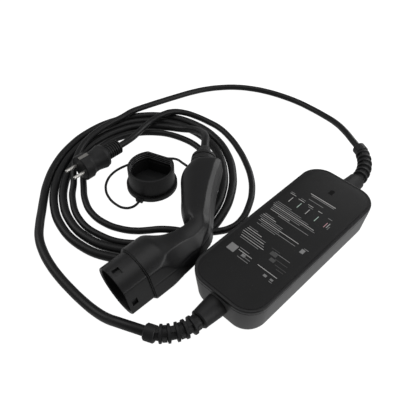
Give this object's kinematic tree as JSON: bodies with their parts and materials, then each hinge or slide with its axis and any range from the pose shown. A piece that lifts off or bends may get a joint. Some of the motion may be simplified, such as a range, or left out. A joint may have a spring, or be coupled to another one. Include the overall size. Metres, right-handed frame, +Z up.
{
  "type": "portable_ev_charger",
  "caption": "Black portable EV charger with a flat control box, a D-shaped vehicle connector on an angled handle, its dust cap, a round mains plug and two coiled cords",
  "frame": {"origin": "under the middle of the control box, on the surface it lies on", "axes": "+X along the control box from the vehicle-cord end to the mains end, +Y away from the box towards the coil, +Z up"},
  "size_m": [0.5097, 0.4295, 0.0729],
  "materials": {
    "film_black": "matte printed film",
    "case_black": "fine satin",
    "case_grey": "satin, fine texture",
    "shell_black": "satin, fine texture",
    "rubber_black": "matte",
    "cord_black": "satin jacket",
    "insert_grey": "matte",
    "contact_metal": "plated",
    "screw_steel": "zinc plated",
    "board_green": "solder mask",
    "relay_blue": "moulded",
    "sensor_yellow": "moulded",
    "winding_orange": "taped winding",
    "can_violet": "sleeved can",
    "terminal_green": "moulded",
    "lamp_green": "clear resin",
    "guide_clear": "clear resin",
    "core_wires": "insulated cores"
  },
  "bodies": {
    "root": {"face_film": "film_black", "box_lid": "case_black", "box_tub": "case_grey", "handle_shell_upper": "shell_black", "handle_shell_lower": "shell_black", "connector_shroud": "shell_black", "lid_gasket": "rubber_black", "shroud_seal": "rubber_black", "vehicle_strain_relief": "rubber_black", "mains_strain_relief": "rubber_black", "cord_gland": "rubber_black", "dust_cap": "rubber_black", "cap_tether": "rubber_black", "plug_body": "rubber_black", "vehicle_cord_lead": "cord_black", "vehicle_cord_tail": "cord_black", "mains_cord_lead": "cord_black", "mains_cord_tail": "cord_black", "cord_coil": "cord_black", "contact_carrier": "insert_grey", "plug_insert": "insert_grey", "power_contacts": "contact_metal", "pilot_contacts": "contact_metal", "line_pins": "contact_metal", "earth_contacts": "contact_metal", "housing_screws": "screw_steel", "circuit_board": "board_green", "coding_board": "board_green", "power_relays": "relay_blue", "surge_absorbers": "relay_blue", "leakage_sensor": "sensor_yellow", "supply_transformer": "winding_orange", "filter_capacitors": "can_violet", "vehicle_terminals": "terminal_green", "mains_terminals": "terminal_green", "indicator_lamp": "lamp_green", "light_guide": "guide_clear", "vehicle_cores": "core_wires", "mains_cores": "core_wires", "handle_cores": "core_wires"}
  },
  "joints": []
}
